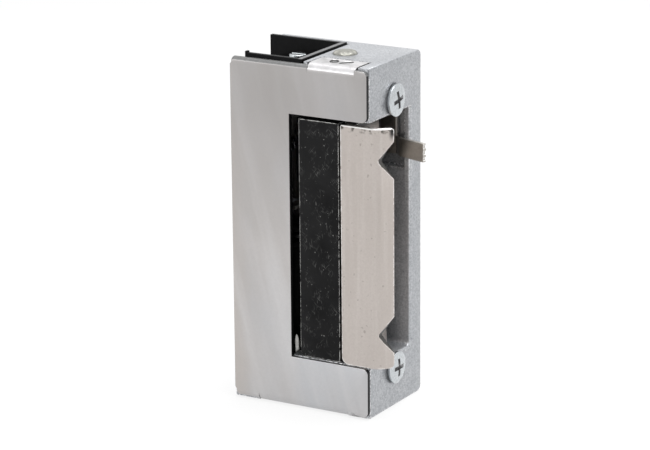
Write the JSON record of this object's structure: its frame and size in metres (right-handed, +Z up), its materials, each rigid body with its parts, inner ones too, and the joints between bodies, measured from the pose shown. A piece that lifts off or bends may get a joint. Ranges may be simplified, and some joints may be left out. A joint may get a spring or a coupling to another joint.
{
  "type": "electric strike",
  "caption": "Electric door strike: a die-cast case with a sheet cover, a swinging keeper, a solenoid that releases it, a manual release slider and screw terminals.",
  "frame": {"origin": "centre of the case's lower end face", "axes": "+X out of the front face that takes the latch, +Y from the cover to the rear wall, +Z up"},
  "size_m": [0.0345, 0.0204, 0.0666],
  "materials": {
    "zinc_casting": "cast, tumbled, light grey",
    "plated_sheet": "zinc plated, cloudy satin",
    "nickel_steel": "nickel plated, dull",
    "black_steel": "blackened, worn bright on its edges",
    "nickel_keeper": "nickel plated, warm satin",
    "zinc_screw": "bright zinc plated",
    "dark_plastic": "moulded, black",
    "wrapped_copper": "enamelled copper under black tape",
    "soft_iron": "zinc plated",
    "hardened_steel": "hardened, oiled",
    "spring_wire": "drawn wire",
    "stamped_steel": "stamped, plated",
    "black_plastic": "moulded, black",
    "terminal_metal": "nickel plated brass"
  },
  "bodies": {
    "case": {"housing": "zinc_casting", "cover": "plated_sheet", "pivot_pin": "nickel_steel", "fixing_screws": "zinc_screw", "coil_bobbin": "dark_plastic", "coil_winding": "wrapped_copper", "coil_core": "soft_iron", "coil_yoke": "soft_iron", "yoke_screw": "zinc_screw", "lever_pin": "nickel_steel", "keeper_spring": "spring_wire", "lever_spring": "spring_wire", "armature_spring": "spring_wire", "terminal_block": "black_plastic", "terminal_cages": "terminal_metal", "terminal_screws": "terminal_metal"},
    "keeper_swing": {"keeper_carrier": "black_steel", "keeper": "nickel_keeper", "keeper_screws": "zinc_screw"},
    "lever": {"locking_lever": "hardened_steel"},
    "armature": {"armature": "soft_iron"},
    "slider": {"release_slider": "stamped_steel"}
  },
  "joints": [
    {"name": "keeper_pivot", "type": "hinge", "parent": "case", "child": "keeper_swing", "pos_m": [0.0043, 0, 0.033], "axis": [0, 0, 1], "range_deg": [-40, 0], "stiffness_Nm_per_rad": 0.004, "deforming": ["keeper_spring"]},
    {"name": "lever_pivot", "type": "hinge", "parent": "case", "child": "lever", "pos_m": [-0.006, 0.00325, 0.05], "axis": [0, 1, 0], "range_deg": [0, 20], "stiffness_Nm_per_rad": 0.002, "deforming": ["lever_spring"]},
    {"name": "armature_pivot", "type": "hinge", "parent": "case", "child": "armature", "pos_m": [-0.0075, 0.0068, 0.0313], "axis": [1, 0, 0], "range_deg": [0, 8.2], "stiffness_Nm_per_rad": 0.002, "deforming": ["armature_spring"]},
    {"name": "release_slide", "type": "slide", "parent": "case", "child": "slider", "axis": [0, 0, 1], "range_m": [-0.002, 0]}
  ],
  "couplings": [
    {"joint": "lever_pivot", "follows": "keeper_pivot", "ratio": -0.5},
    {"joint": "armature_pivot", "follows": "keeper_pivot", "ratio": -0.205}
  ]
}
